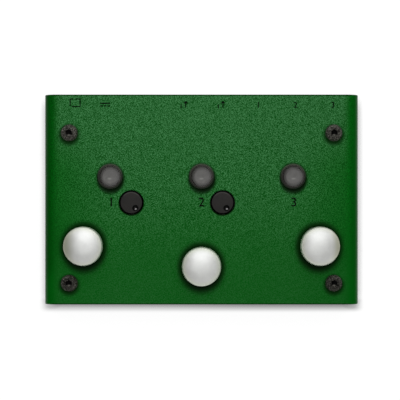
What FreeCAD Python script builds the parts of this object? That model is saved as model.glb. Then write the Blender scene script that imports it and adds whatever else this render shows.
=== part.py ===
import FreeCAD, Part
import math
import os

# A three-channel foot switcher for instruments: a folded steel box with three domed foot buttons,
# three round lamps and two sunk gain controls on top, and a row of sockets along the back.
# +X runs to the player's right, +Y to the back where the sockets are, +Z up.
# The origin lies on the floor under the middle of the box. All sizes are in millimetres.

Vector = FreeCAD.Vector
right_way = Vector(1, 0, 0)
back_way = Vector(0, 1, 0)
up_way = Vector(0, 0, 1)
origin = Vector(0, 0, 0)

# Box
box_width = 165.0
box_depth = 110.0
panel_top = 32.0
cover_sheet = 2.0
cover_bend = 6.0
cover_foot_round = 3.0
tray_sheet = 1.5
tray_bend = 2.5
foot_height = 2.5
side_gap = 0.3
back_overhang = 3.0
front_overhang = 1.2

# Tabs at the tray's upper corners, which hold the cover screws' nuts
tab_width = 14.0
tab_relief = 0.8
tab_root = 26.5
back_tab_reach = 25.0
front_tab_reach = 17.5
nut_flats = 8.0
nut_depth = 3.5

# Fits
running_gap = 0.05
thread_gap = 0.05

# Panel layout, each place as (x, y) from the middle of the panel
side_button_x = 61.7
side_button_y = -24.3
middle_button_y = -34.9
lamp_x = 47.9
lamp_y = 12.1
gain_y = -1.6
first_gain_x = -36.8
second_gain_x = 11.0
screw_x = 69.3
back_screw_y = 34.9
front_screw_y = -43.8

# Foot buttons
cap_radius = 10.4
cap_side_top = 37.2
cap_shoulder = 0.7
cap_top = 43.0
cap_lift = 3.0
cap_recess_radius = 7.4
cap_recess_top = 39.5
stem_radius = 4.0
stem_foot = 18.5
button_travel = 2.5
bush_thread_radius = 6.0
bush_flange_radius = 7.0
bush_flange = 1.0
bush_foot = 22.0
bush_nut_flats = 16.0
bush_nut_height = 3.0
ring_radius = 6.4
ring_height = 0.8
ring_below_bush = 0.3
groove_depth = 0.45

# Momentary switches under the foot buttons
switch_width = 12.0
switch_height = 5.4
plunger_radius = 3.0
plunger_length = 5.6
plunger_collar = 3.9
plunger_collar_height = 0.8

# Return springs of square wire
spring_wire = 0.9
spring_radius = 5.6
spring_turns = 3.0

# Lamps
lens_radius = 5.25
lens_side_top = 34.6
lens_shoulder_radius = 4.3
lens_shoulder_top = 35.4
lens_top = 36.0
lens_flange_radius = 5.75
lens_foot = 26.0
lamp_hole_radius = 6.1
bezel_radius = 6.7
bezel_rise = 2.0
bezel_slope = 0.7

# Gain controls
gain_hole_radius = 6.45
knob_radius = 5.8
knob_edge = 0.4
knob_top = 31.8
knob_height = 10.0
knob_socket = 6.0
shaft_radius = 3.0
dimple_radius = 1.6
dimple_depth = 1.3
dimple_out = 3.6
dimple_angle = -54.0
pot_width = 11.0
pot_depth = 12.0
pot_height = 6.8
pot_neck_radius = 4.2
pot_neck = 4.0
shaft_sunk = 3.8

# Circuit board
board_lift = 4.0
board_thickness = 1.6
board_side_margin = 5.5
board_end_margin = 5.0
spacer_flats = 5.5
board_screw_radius = 1.5
board_screw_x = 71.0
board_screw_back_y = 18.0
board_screw_front_y = -45.0
chip_places = [(-14.0, 2.0), (-14.0, -9.0), (-27.0, -18.0), (28.0, -36.0), (42.0, -36.0)]
chip_depth = 6.4
lead_pitch = 2.54

# Sockets for 6.35 mm plugs
jack_first_x = -9.2
jack_pitch = 19.5
jack_names = (
    "first_output_jack",
    "second_output_jack",
    "first_input_jack",
    "second_input_jack",
    "third_input_jack",
)
jack_width = 15.6
jack_length = 26.0
jack_height = 14.6
jack_bore_radius = 3.25
jack_bore_length = 28.0
jack_sleeve_radius = 5.9
jack_sleeve_end = 0.3
jack_nut_flats = 14.0
jack_nut_height = 2.0
jack_washer_radius = 7.8
jack_washer_height = 0.5
contact_slot = 2.6

# Power inlet for a barrel plug
inlet_x = -50.5
inlet_width = 9.4
inlet_length = 14.0
inlet_height = 11.0
inlet_bore_radius = 3.15
inlet_bore_length = 10.5
inlet_nose_radius = 4.3
inlet_pin_radius = 1.0
inlet_root_radius = 1.3

# Slide switch that lifts the ground
slide_x = -66.2
slide_width = 12.0
slide_depth = 7.0
slide_height = 9.6
slide_travel = 2.0
nub_size = 2.6
slider_size = 4.0

# Screws
screw_head_radius = 4.5
screw_head_height = 2.75
screw_radius = 2.5
screw_length = 6.0
screw_socket_flats = 3.0
screw_socket_depth = 1.8

# Levels and walls that follow from the sizes above
half_width = box_width / 2
half_depth = box_depth / 2
cover_under = panel_top - cover_sheet
floor_top = foot_height + tray_sheet
board_under = floor_top + board_lift
board_top = board_under + board_thickness
back_wall = half_depth - back_overhang
back_wall_inner = back_wall - tray_sheet
front_wall = -half_depth + front_overhang
front_wall_inner = front_wall + tray_sheet
tray_half_width = half_width - cover_sheet - side_gap
bush_flange_top = panel_top + bush_flange
cap_foot = panel_top + cap_lift
jack_axis = board_top + jack_height / 2
inlet_axis = board_top + 6.5
slide_axis = board_top + 6.4
tab_middle = half_width - cover_bend - 0.2 - tab_width / 2
switch_top = board_top + switch_height
plunger_top = stem_foot - 0.1
plunger_foot = plunger_top - plunger_length
switch_floor = plunger_foot - button_travel - 0.1
shaft_foot = board_top + pot_height - shaft_sunk
button_places = {
    "left": (-side_button_x, side_button_y),
    "middle": (0.0, middle_button_y),
    "right": (side_button_x, side_button_y),
}
lamp_places = {
    "left": (-lamp_x, lamp_y),
    "middle": (0.0, lamp_y),
    "right": (lamp_x, lamp_y),
}
gain_places = {
    "first": (first_gain_x, gain_y),
    "second": (second_gain_x, gain_y),
}
cover_screw_places = [
    (side * screw_x, y) for side in (-1, 1) for y in (back_screw_y, front_screw_y)
]
board_screw_places = [
    (side * board_screw_x, y)
    for side in (-1, 1)
    for y in (board_screw_back_y, board_screw_front_y)
]
jack_places = [jack_first_x + i * jack_pitch for i in range(len(jack_names))]


# Flat outlines

def on_xy(u, v):
    return Vector(u, v, 0)


def on_xz(u, v):
    return Vector(u, 0, v)


def on_yz(u, v):
    return Vector(0, u, v)


def rounded_face(corners, place):
    """A flat face whose corners (u, v, radius) are rounded, a radius of 0 staying sharp."""
    edges = []
    joins = []
    count = len(corners)
    for i in range(count):
        before = place(*corners[i - 1][:2])
        corner = place(*corners[i][:2])
        after = place(*corners[(i + 1) % count][:2])
        radius = corners[i][2]
        if radius == 0:
            joins.append((corner, corner))
            continue
        to_before = (before - corner).normalize()
        to_after = (after - corner).normalize()
        half_angle = to_before.getAngle(to_after) / 2
        reach = radius / math.tan(half_angle)
        start = corner + to_before * reach
        end = corner + to_after * reach
        inward = (to_before + to_after).normalize()
        centre = corner + inward * (radius / math.sin(half_angle))
        edges.append(Part.Arc(start, centre - inward * radius, end).toShape())
        joins.append((start, end))
    for i in range(count):
        start = joins[i - 1][1]
        end = joins[i][0]
        if start.distanceToPoint(end) > 1e-6:
            edges.append(Part.LineSegment(start, end).toShape())
    return Part.Face(Part.Wire(Part.__sortEdges__(edges)))


def sharp_face(points, place):
    """A flat face through plain points."""
    return rounded_face([(u, v, 0) for u, v in points], place)


def bulged_face(points, place):
    """A flat face of points (u, v, bulge), where bulge is how far the next side bows to its right."""
    edges = []
    count = len(points)
    for i in range(count):
        u, v, bulge = points[i]
        next_u, next_v = points[(i + 1) % count][:2]
        start = place(u, v)
        end = place(next_u, next_v)
        if bulge == 0:
            edges.append(Part.LineSegment(start, end).toShape())
            continue
        length = math.hypot(next_u - u, next_v - v)
        across_u = (next_v - v) / length
        across_v = -(next_u - u) / length
        middle = place((u + next_u) / 2 + across_u * bulge, (v + next_v) / 2 + across_v * bulge)
        edges.append(Part.Arc(start, middle, end).toShape())
    return Part.Face(Part.Wire(edges))


def turned(face, x=0.0, y=0.0):
    """A face in the XZ plane turned round the Z axis, then set at x, y."""
    solid = face.revolve(origin, up_way, 360)
    solid.translate(Vector(x, y, 0))
    return solid


def turned_ring(inner, outer, low, high, x=0.0, y=0.0):
    """A plain ring, or a disc where inner is 0."""
    points = [(inner, low), (outer, low), (outer, high), (inner, high)]
    return turned(sharp_face(points, on_xz), x, y)


def upright(radius, low, high, x=0.0, y=0.0):
    """An upright cylinder."""
    return Part.makeCylinder(radius, high - low, Vector(x, y, low))


def lying(radius, front, back, x, z):
    """A cylinder that lies along Y."""
    return Part.makeCylinder(radius, back - front, Vector(x, front, z), back_way)


def block(x_range, y_range, z_range):
    """A box given by its low and high faces."""
    size = (x_range[1] - x_range[0], y_range[1] - y_range[0], z_range[1] - z_range[0])
    return Part.makeBox(*size, Vector(x_range[0], y_range[0], z_range[0]))


def centred_block(x, y, width, depth, low, high):
    """A box round an upright line."""
    return block((x - width / 2, x + width / 2), (y - depth / 2, y + depth / 2), (low, high))


def rounded_block(x, y, width, depth, low, high, radius):
    """An upright box with rounded upright edges."""
    corners = [(x + sx * width / 2, y + sy * depth / 2, radius)
               for sx, sy in ((-1, -1), (1, -1), (1, 1), (-1, 1))]
    face = rounded_face(corners, on_xy)
    face.translate(Vector(0, 0, low))
    return face.extrude(up_way * (high - low))


def hexagon(flats):
    """Corner points of a hexagon with a corner on the first axis."""
    radius = flats / math.sqrt(3)
    turns = [math.radians(60 * i) for i in range(6)]
    return [(radius * math.cos(turn), radius * math.sin(turn)) for turn in turns]


def dome_bulge(rim_radius, rise):
    """How far a dome's side view bows out from the straight line between its rim and its top."""
    sphere = (rim_radius ** 2 + rise ** 2) / (2 * rise)
    chord = math.hypot(rim_radius, rise)
    return sphere - math.sqrt(sphere ** 2 - chord ** 2 / 4)


def fused(first, others):
    """Several touching solids as one."""
    return first.multiFuse(list(others)).removeSplitter()


# Box

def make_cover():
    """Top and two sides folded from one sheet, with every hole of the panel."""
    inner_bend = cover_bend - cover_sheet
    inner_half = half_width - cover_sheet
    section = rounded_face([
        (-half_width, foot_height, 0),
        (-half_width, panel_top, cover_bend),
        (half_width, panel_top, cover_bend),
        (half_width, foot_height, 0),
        (inner_half, foot_height, 0),
        (inner_half, cover_under, inner_bend),
        (-inner_half, cover_under, inner_bend),
        (-inner_half, foot_height, 0),
    ], on_xz)
    section.translate(Vector(0, -half_depth, 0))
    cover = section.extrude(back_way * box_depth)
    side_view = rounded_face([
        (-half_depth, foot_height, cover_foot_round),
        (half_depth, foot_height, cover_foot_round),
        (half_depth, panel_top, 0),
        (-half_depth, panel_top, 0),
    ], on_yz)
    side_view.translate(Vector(-half_width, 0, 0))
    cover = cover.common(side_view.extrude(right_way * box_width))
    holes = []
    low = cover_under - 1
    high = panel_top + 1
    for x, y in button_places.values():
        holes.append(upright(bush_thread_radius + 0.1, low, high, x, y))
    for x, y in lamp_places.values():
        holes.append(upright(lamp_hole_radius, low, high, x, y))
    for x, y in gain_places.values():
        holes.append(upright(gain_hole_radius, low, high, x, y))
    for x, y in cover_screw_places:
        holes.append(upright(screw_radius + 0.25, low, high, x, y))
    return cover.cut(Part.Compound(holes))


def tab_section(wall, inner_wall, tip):
    """A tab bent inward at a wall's top edge, in side view."""
    inner_bend = tray_bend - tray_sheet
    face = rounded_face([
        (wall, tab_root, 0),
        (wall, cover_under, tray_bend),
        (tip, cover_under, 0),
        (tip, cover_under - tray_sheet, 0),
        (inner_wall, cover_under - tray_sheet, inner_bend),
        (inner_wall, tab_root, 0),
    ], on_yz)
    return face


def make_base_tray():
    """Floor, front wall and back wall folded from one sheet, with four inward tabs at the corners."""
    inner_bend = tray_bend - tray_sheet
    section = rounded_face([
        (front_wall, cover_under, 0),
        (front_wall, foot_height, tray_bend),
        (back_wall, foot_height, tray_bend),
        (back_wall, cover_under, 0),
        (back_wall_inner, cover_under, 0),
        (back_wall_inner, floor_top, inner_bend),
        (front_wall_inner, floor_top, inner_bend),
        (front_wall_inner, cover_under, 0),
    ], on_yz)
    section.translate(Vector(-tray_half_width, 0, 0))
    tray = section.extrude(right_way * 2 * tray_half_width)
    corner_round = cover_bend - cover_sheet + 0.5
    end_view = rounded_face([
        (-tray_half_width, foot_height, 0),
        (tray_half_width, foot_height, 0),
        (tray_half_width, cover_under, corner_round),
        (-tray_half_width, cover_under, corner_round),
    ], on_xz)
    end_view.translate(Vector(0, -half_depth, 0))
    tray = tray.common(end_view.extrude(back_way * box_depth))
    cuts = []
    tabs = []
    for side in (-1, 1):
        x = side * tab_middle
        reach = tab_width / 2 + tab_relief
        cuts.append(block((x - reach, x + reach), (-half_depth, half_depth), (tab_root, panel_top)))
        for wall, inner_wall, tip in (
            (back_wall, back_wall_inner, back_wall - back_tab_reach),
            (front_wall, front_wall_inner, front_wall + front_tab_reach),
        ):
            face = tab_section(wall, inner_wall, tip)
            face.translate(Vector(x - tab_width / 2, 0, 0))
            tabs.append(face.extrude(right_way * tab_width))
    tray = fused(tray.cut(Part.Compound(cuts)), tabs)
    holes = []
    for x, y in cover_screw_places:
        holes.append(upright(screw_radius + 0.25, tab_root, panel_top, x, y))
    for x in jack_places:
        holes.append(lying(jack_sleeve_radius + 0.2, back_wall_inner - 1, back_wall + 1, x, jack_axis))
    holes.append(lying(inlet_nose_radius + 0.3, back_wall_inner - 1, back_wall + 1, inlet_x, inlet_axis))
    slot_half_width = (nub_size + slide_travel) / 2 + 0.4
    slot_half_height = nub_size / 2 + 0.4
    holes.append(block(
        (slide_x - slot_half_width, slide_x + slot_half_width),
        (back_wall_inner - 1, back_wall + 1),
        (slide_axis - slot_half_height, slide_axis + slot_half_height),
    ))
    return tray.cut(Part.Compound(holes))


def make_rubber_foot(x, y):
    """A slightly tapered stick-on foot with a bevelled lower edge."""
    top_radius = 6.0
    face = sharp_face([
        (0, 0),
        (top_radius - 0.9, 0),
        (top_radius - 0.4, 0.5),
        (top_radius, foot_height),
        (0, foot_height),
    ], on_xz)
    return turned(face, x, y)


def make_rubber_feet():
    foot_x = half_width - 14.0
    foot_y = half_depth - 13.5
    return [make_rubber_foot(sx * foot_x, sy * foot_y) for sx in (-1, 1) for sy in (-1, 1)]


# Screws and nuts

def hex_prism(flats, low, high, x, y):
    """An upright hexagonal prism."""
    face = sharp_face(hexagon(flats), on_xy)
    face.translate(Vector(x, y, low))
    return face.extrude(up_way * (high - low))


def make_cover_screw(x, y):
    """A button-head screw with a hexagon socket."""
    head_top = panel_top + screw_head_height
    shank = screw_radius - thread_gap
    face = sharp_face([
        (0, panel_top - screw_length),
        (shank, panel_top - screw_length),
        (shank, panel_top),
        (screw_head_radius, panel_top),
        (screw_head_radius, panel_top + 0.4),
        (screw_head_radius - 0.7, panel_top + 1.8),
        (2.4, head_top),
        (0, head_top),
    ], on_xz)
    screw = turned(face, x, y)
    socket = hex_prism(screw_socket_flats, head_top - screw_socket_depth, head_top + 1, x, y)
    return screw.cut(socket)


def make_tab_nut(x, y):
    """A hexagon nut welded under a tab."""
    tab_under = cover_under - tray_sheet
    nut = hex_prism(nut_flats, tab_under - nut_depth, tab_under, x, y)
    return nut.cut(upright(screw_radius, tab_under - nut_depth - 1, tab_under + 1, x, y))


def make_board_spacer(x, y):
    """A hexagon pillar with a threaded bore."""
    spacer = hex_prism(spacer_flats, floor_top, board_under, x, y)
    return spacer.cut(upright(board_screw_radius + thread_gap, floor_top - 1, board_under + 1, x, y))


def make_board_screw(x, y):
    """A small pan-head screw that holds the board down on its pillar."""
    head_height = 2.0
    face = sharp_face([
        (0, floor_top + 0.4),
        (board_screw_radius, floor_top + 0.4),
        (board_screw_radius, board_top),
        (2.8, board_top),
        (2.8, board_top + head_height),
        (0, board_top + head_height),
    ], on_xz)
    return turned(face, x, y)


# Foot buttons

def make_foot_button(x, y):
    """A domed cap with a hollow for its spring, turned in one piece with its stem."""
    ring_top = bush_foot - ring_below_bush
    groove = stem_radius - groove_depth
    crown_radius = cap_radius - cap_shoulder
    crown_foot = cap_side_top + cap_shoulder
    face = bulged_face([
        (0, stem_foot, 0),
        (stem_radius, stem_foot, 0),
        (stem_radius, ring_top - ring_height - 0.05, 0),
        (groove, ring_top - ring_height - 0.05, 0),
        (groove, ring_top + 0.05, 0),
        (stem_radius, ring_top + 0.05, 0),
        (stem_radius, cap_recess_top, 0),
        (cap_recess_radius, cap_recess_top, 0),
        (cap_recess_radius, cap_foot, 0),
        (cap_radius, cap_foot, 0),
        (cap_radius, cap_side_top, 0),
        (crown_radius, crown_foot, dome_bulge(crown_radius, cap_top - crown_foot)),
        (0, cap_top, 0),
    ], on_xz)
    return turned(face, x, y)


def make_guide_bush(x, y):
    """A threaded bush with a flange on the panel, in which the stem slides."""
    face = sharp_face([
        (stem_radius + running_gap, bush_foot),
        (bush_thread_radius, bush_foot),
        (bush_thread_radius, panel_top),
        (bush_flange_radius, panel_top),
        (bush_flange_radius, bush_flange_top),
        (stem_radius + running_gap, bush_flange_top),
    ], on_xz)
    return turned(face, x, y)


def make_bush_nut(x, y):
    """The hexagon nut that clamps a bush from under the panel."""
    low = cover_under - bush_nut_height
    nut = hex_prism(bush_nut_flats, low, cover_under, x, y)
    return nut.cut(upright(bush_thread_radius + thread_gap, low - 1, cover_under + 1, x, y))


def make_retaining_ring(x, y):
    """An open ring in the stem's groove that stops the button from coming out."""
    high = bush_foot - ring_below_bush
    inner = stem_radius - groove_depth + 0.05
    ring = turned_ring(inner, ring_radius, high - ring_height, high, x, y)
    mouth = centred_block(x, y - ring_radius, 5.0, 2 * ring_radius, high - ring_height - 1, high + 1)
    return ring.cut(mouth)


def turn_point(turn, rise_per_turn):
    """A point of the spring's middle line, and its direction there."""
    angle = 2 * math.pi * turn
    point = Vector(spring_radius * math.cos(angle), spring_radius * math.sin(angle), rise_per_turn * turn)
    way = Vector(-math.sin(angle), math.cos(angle), rise_per_turn / (2 * math.pi * spring_radius))
    return point, way.normalize()


def arc_from(start, way, end):
    """The arc that leaves start along way and ends at end."""
    chord = end - start
    along = Vector(chord).normalize()
    slope = along.dot(way)
    side = (way - along * slope).normalize()
    half_turn = math.acos(max(-1.0, min(1.0, slope)))
    middle = start + chord * 0.5 + side * (chord.Length / 2 * math.tan(half_turn / 2))
    return Part.Arc(start, middle, end).toShape()


def spring_line(rise_per_turn):
    """The spring's middle line: two tangent arcs for each half turn, and a short straight at each end."""
    halves = int(round(spring_turns * 2))
    first_point, first_way = turn_point(0, rise_per_turn)
    edges = [Part.LineSegment(first_point - first_way * spring_wire, first_point).toShape()]
    for i in range(halves):
        start, start_way = turn_point(i / 2, rise_per_turn)
        end, end_way = turn_point((i + 1) / 2, rise_per_turn)
        chord = end - start
        a = 2 * (start_way.dot(end_way) - 1)
        b = -2 * chord.dot(start_way + end_way)
        c = chord.dot(chord)
        reach = (-b - math.sqrt(b * b - 4 * a * c)) / (2 * a)
        meeting = (start + end + (start_way - end_way) * reach) * 0.5
        meeting_way = (end_way * reach * -1 + (end - meeting)).normalize()
        edges.append(arc_from(start, start_way, meeting))
        edges.append(arc_from(meeting, meeting_way, end))
    last_point, last_way = turn_point(spring_turns, rise_per_turn)
    edges.append(Part.LineSegment(last_point, last_point + last_way * spring_wire).toShape())
    return Part.Wire(edges)


def least_gap(wire):
    """The least clear space between turns, measured on points of the middle line."""
    points = wire.discretize(Number=240)
    step = wire.Length / (len(points) - 1)
    apart = int(math.pi * spring_radius / step)
    nearest = min(
        points[i].distanceToPoint(points[j])
        for i in range(len(points))
        for j in range(i + apart, len(points))
    )
    return nearest - spring_wire


def make_return_spring(x, y):
    """An open coil of square wire between the bush's flange and the cap's hollow."""
    height = cap_recess_top - bush_flange_top
    slope_room = 0.05
    twist_room = 0.19
    top_gap = 0.08
    rise = (height - top_gap - spring_wire - 2 * slope_room - twist_room) / spring_turns
    wire = spring_line(rise)
    print("return spring, least gap to itself: %.2f mm" % least_gap(wire))
    start, way = turn_point(0, rise)
    start = start - way * spring_wire
    across = Vector(1, 0, 0)
    over = way.cross(across).normalize()
    half = spring_wire / 2
    corners = [start + across * (sx * half) + over * (sz * half)
               for sx, sz in ((-1, -1), (1, -1), (1, 1), (-1, 1))]
    shell = Part.BRepOffsetAPI.MakePipeShell(wire)
    shell.add(Part.makePolygon(corners + [corners[0]]))
    shell.build()
    shell.makeSolid()
    spring = shell.shape()
    spring.translate(Vector(x, y, bush_flange_top + spring_wire / 2 + slope_room))
    return spring


def make_switch_body(x, y):
    """A momentary switch on the board under a foot button's stem."""
    body = rounded_block(x, y, switch_width, switch_width, board_top, switch_top, 1.0)
    collar_room = plunger_foot + plunger_collar_height + 0.3
    well = upright(plunger_collar + 0.2, switch_floor, collar_room, x, y)
    mouth = upright(plunger_radius + running_gap, switch_floor, switch_top + 1, x, y)
    return body.cut(well).cut(mouth)


def make_switch_plunger(x, y):
    """The switch's plunger, kept in by its collar."""
    collar_top = plunger_foot + plunger_collar_height
    face = sharp_face([
        (0, plunger_foot),
        (plunger_collar, plunger_foot),
        (plunger_collar, collar_top),
        (plunger_radius, collar_top),
        (plunger_radius, plunger_top),
        (0, plunger_top),
    ], on_xz)
    return turned(face, x, y)


# Lamps

def make_lamp(x, y):
    """A round lamp with a low crowned lens and a foot flange."""
    flange_top = lens_foot + 1.0
    face = sharp_face([
        (0, lens_foot),
        (lens_flange_radius, lens_foot),
        (lens_flange_radius, flange_top),
        (lens_radius, flange_top),
        (lens_radius, lens_side_top),
        (lens_shoulder_radius, lens_shoulder_top),
        (lens_shoulder_radius / 2, lens_top - 0.15),
        (0, lens_top),
    ], on_xz)
    return turned(face, x, y)


def make_lamp_bezel(x, y):
    """A pushed-in ring round a lamp, with a bevelled rim on the panel."""
    bore = lens_radius + 0.1
    neck = lamp_hole_radius - 0.1
    rim_top = panel_top + bezel_rise
    face = sharp_face([
        (bore, lens_foot + 1.1),
        (neck, lens_foot + 1.1),
        (neck, panel_top),
        (bezel_radius, panel_top),
        (bezel_radius, rim_top - bezel_slope),
        (bezel_radius - bezel_slope, rim_top),
        (bore, rim_top),
    ], on_xz)
    return turned(face, x, y)


def make_lamp_leads():
    """Two square leads from each lamp down to the board."""
    size = 0.6
    return [centred_block(x + side * lead_pitch / 2, y, size, size, board_top, lens_foot)
            for x, y in lamp_places.values() for side in (-1, 1)]


# Gain controls

def make_gain_knob(x, y):
    """A flush round knob with a dimple that marks its turn."""
    knob_foot = knob_top - knob_height
    face = sharp_face([
        (shaft_radius + 0.02, knob_foot),
        (knob_radius, knob_foot),
        (knob_radius, knob_top - knob_edge),
        (knob_radius - knob_edge, knob_top),
        (0, knob_top),
        (0, knob_foot + knob_socket),
        (shaft_radius + 0.02, knob_foot + knob_socket),
    ], on_xz)
    knob = turned(face, x, y)
    angle = math.radians(dimple_angle)
    dimple = Part.makeCone(0.35, dimple_radius, dimple_depth, Vector(
        x + dimple_out * math.cos(angle),
        y + dimple_out * math.sin(angle),
        knob_top - dimple_depth,
    ))
    return knob.cut(dimple)


def make_gain_shaft(x, y):
    """The turning shaft between a control's body and its knob."""
    return upright(shaft_radius, shaft_foot, knob_top - knob_height + knob_socket - 0.1, x, y)


def make_gain_pot(x, y):
    """The still body of a gain control, with the neck that guides its shaft."""
    body_top = board_top + pot_height
    body = rounded_block(x, y, pot_width, pot_depth, board_top, body_top, 0.8)
    neck = upright(pot_neck_radius, body_top, body_top + pot_neck, x, y)
    bore = upright(shaft_radius + running_gap, shaft_foot - 0.2, body_top + pot_neck + 1, x, y)
    return fused(body, [neck]).cut(bore)


# Sockets

def make_jack(x):
    """A moulded plug socket with a threaded sleeve, a through bore and a slot for its contact."""
    sleeve_end = half_depth - jack_sleeve_end
    front = back_wall_inner - jack_length
    body = block((x - jack_width / 2, x + jack_width / 2), (front, back_wall_inner),
                 (board_top, board_top + jack_height))
    waist = 1.2
    waist_front = front + 4.0
    waist_back = back_wall_inner - 7.0
    for side in (-1, 1):
        outer = x + side * jack_width / 2
        inner = outer - side * waist
        body = body.cut(block((min(outer, inner), max(outer, inner)), (waist_front, waist_back),
                              (board_top + 3.0, board_top + jack_height)))
    sleeve = lying(jack_sleeve_radius, back_wall_inner, sleeve_end, x, jack_axis)
    jack = fused(body, [sleeve])
    bore = lying(jack_bore_radius, sleeve_end - jack_bore_length, sleeve_end + 1, x, jack_axis)
    slot = block((x - contact_slot / 2, x + contact_slot / 2), (front - 1, front + 17.5),
                 (jack_axis, board_top + jack_height + 1))
    return jack.cut(bore).cut(slot)


def make_jack_contact(x):
    """A sprung leaf that lies in a socket's slot just clear of the bore."""
    front = back_wall_inner - jack_length
    near = jack_axis + jack_bore_radius + 0.25
    high = board_top + jack_height - 1.2
    leaf = 0.4
    points = [
        (front + 0.5, high),
        (front + 9.0, high),
        (front + 13.0, near),
        (front + 15.5, near + 1.4),
        (front + 15.5, near + 1.4 + leaf),
        (front + 13.0, near + leaf),
        (front + 9.2, high + leaf),
        (front + 0.5, high + leaf),
    ]
    face = sharp_face(points, on_yz)
    face.translate(Vector(x - 0.9, 0, 0))
    return face.extrude(right_way * 1.8)


def make_jack_washer(x):
    """A flat washer under a socket's nut."""
    washer = lying(jack_washer_radius, back_wall, back_wall + jack_washer_height, x, jack_axis)
    return washer.cut(lying(jack_sleeve_radius + thread_gap, back_wall - 1, half_depth, x, jack_axis))


def make_jack_nut(x):
    """The hexagon nut that holds a socket in the back wall."""
    low = back_wall + jack_washer_height
    face = sharp_face(hexagon(jack_nut_flats), on_xz)
    face.translate(Vector(x, low, jack_axis))
    nut = face.extrude(back_way * jack_nut_height)
    return nut.cut(lying(jack_sleeve_radius + thread_gap, low - 1, half_depth + 1, x, jack_axis))


# Power inlet and slide switch

def make_power_inlet():
    """The moulded inlet, with a round nose through the back wall."""
    front = back_wall_inner - inlet_length
    body = block((inlet_x - inlet_width / 2, inlet_x + inlet_width / 2), (front, back_wall_inner),
                 (board_top, board_top + inlet_height))
    nose = lying(inlet_nose_radius, back_wall_inner, back_wall, inlet_x, inlet_axis)
    inlet = fused(body, [nose])
    bore = lying(inlet_bore_radius, back_wall - inlet_bore_length, back_wall + 1, inlet_x, inlet_axis)
    root_room = lying(inlet_root_radius + thread_gap, front - 1, back_wall, inlet_x, inlet_axis)
    return inlet.cut(bore).cut(root_room)


def make_inlet_pin():
    """The inlet's middle pin, with a thicker root through the body and a flat tail behind it."""
    front = back_wall_inner - inlet_length
    root_end = back_wall - inlet_bore_length
    root = lying(inlet_root_radius, front - 0.6, root_end, inlet_x, inlet_axis)
    pin = lying(inlet_pin_radius, root_end, back_wall - 1.2, inlet_x, inlet_axis)
    tail = block((inlet_x - 1.5, inlet_x + 1.5), (front - 1.2, front - 0.2), (board_top, inlet_axis + 1.5))
    return fused(root, [pin, tail])


def make_slide_body():
    """The slide switch's housing, open towards the back wall."""
    back = back_wall_inner - 0.1
    body = block((slide_x - slide_width / 2, slide_x + slide_width / 2), (back - slide_depth, back),
                 (board_top, board_top + slide_height))
    room_half = (slider_size + slide_travel) / 2 + 0.3
    room = block((slide_x - room_half, slide_x + room_half), (back - 4.2, back + 1),
                 (slide_axis - slider_size / 2 - 0.3, slide_axis + slider_size / 2 + 0.3))
    return body.cut(room)


def make_slide_nub():
    """The slider with the nub that a fingertip moves, resting at its left end."""
    back = back_wall_inner - 0.1
    middle = slide_x - slide_travel / 2
    slider = block((middle - slider_size / 2, middle + slider_size / 2), (back - 3.9, back - 0.3),
                   (slide_axis - slider_size / 2, slide_axis + slider_size / 2))
    nub = block((middle - nub_size / 2, middle + nub_size / 2), (back - 0.4, half_depth - 0.6),
                (slide_axis - nub_size / 2, slide_axis + nub_size / 2))
    return fused(slider, [nub])


# Circuit board and what it carries

def make_main_board():
    """The board that carries every switch, lamp and socket."""
    board = rounded_block(0, 0, box_width - 2 * board_side_margin, box_depth - 2 * board_end_margin,
                          board_under, board_top, 2.0)
    holes = [upright(board_screw_radius + 0.15, board_under - 1, board_top + 1, x, y)
             for x, y in board_screw_places]
    return board.cut(Part.Compound(holes))


def make_transformer():
    """A drawn metal can round the transformer that isolates one output."""
    return rounded_block(-32.0, 28.0, 18.0, 20.0, board_top, board_top + 15.0, 2.5)


def make_relays():
    """Signal relays between the sockets and the foot switches."""
    return [centred_block(x, y, 10.6, 7.2, board_top, board_top + 9.0)
            for x in (28.0, 42.0) for y in (2.0, -9.0, -20.0)]


def make_can_capacitors():
    """Upright can capacitors beside the power inlet."""
    cans = []
    for x in (-67.0, -57.5, -48.0):
        cans.append(upright(4.0, board_top, board_top + 11.5, x, 26.0))
    return cans


def make_film_capacitors():
    """Flat box capacitors in the audio path."""
    return [centred_block(-44.0 + 6.0 * i, -40.0, 2.5, 7.2, board_top, board_top + 6.5) for i in range(5)]


def make_chips():
    """Amplifier chips and the controller that reads the switches."""
    return [centred_block(x, y, 9.8, chip_depth, board_top + 0.2, board_top + 3.6) for x, y in chip_places]


def make_chip_leads():
    """The short legs down both sides of each chip."""
    thickness = 0.7
    outward = (chip_depth + thickness) / 2
    leads = []
    for x, y in chip_places:
        for i in range(4):
            lead_x = x + lead_pitch * (i - 1.5)
            for side in (-1, 1):
                leads.append(centred_block(lead_x, y + side * outward, 0.6, thickness,
                                           board_top, board_top + 2.0))
    return leads


def make_regulator():
    """A voltage regulator laid flat on the board, with its metal tab."""
    tab = block((-66.0, -56.0), (-6.0, 9.0), (board_top, board_top + 1.3))
    body = block((-66.0, -56.0), (-6.0, 3.0), (board_top, board_top + 4.5))
    return fused(tab, [body]).cut(upright(1.8, board_top - 1, board_top + 6, -61.0, 6.3))


# Writing the pieces

def save(name, solids):
    """One STEP file of one solid or of a group of separate ones."""
    shape = solids
    if isinstance(solids, list):
        shape = Part.Compound(solids)
    shape.exportStep("parts/" + name + ".step")


def save_box():
    save("cover", make_cover())
    save("base_tray", make_base_tray())
    save("rubber_feet", make_rubber_feet())
    save("cover_screws", [make_cover_screw(x, y) for x, y in cover_screw_places])
    save("tab_nuts", [make_tab_nut(x, y) for x, y in cover_screw_places])
    save("board_spacers", [make_board_spacer(x, y) for x, y in board_screw_places])
    save("board_screws", [make_board_screw(x, y) for x, y in board_screw_places])


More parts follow.
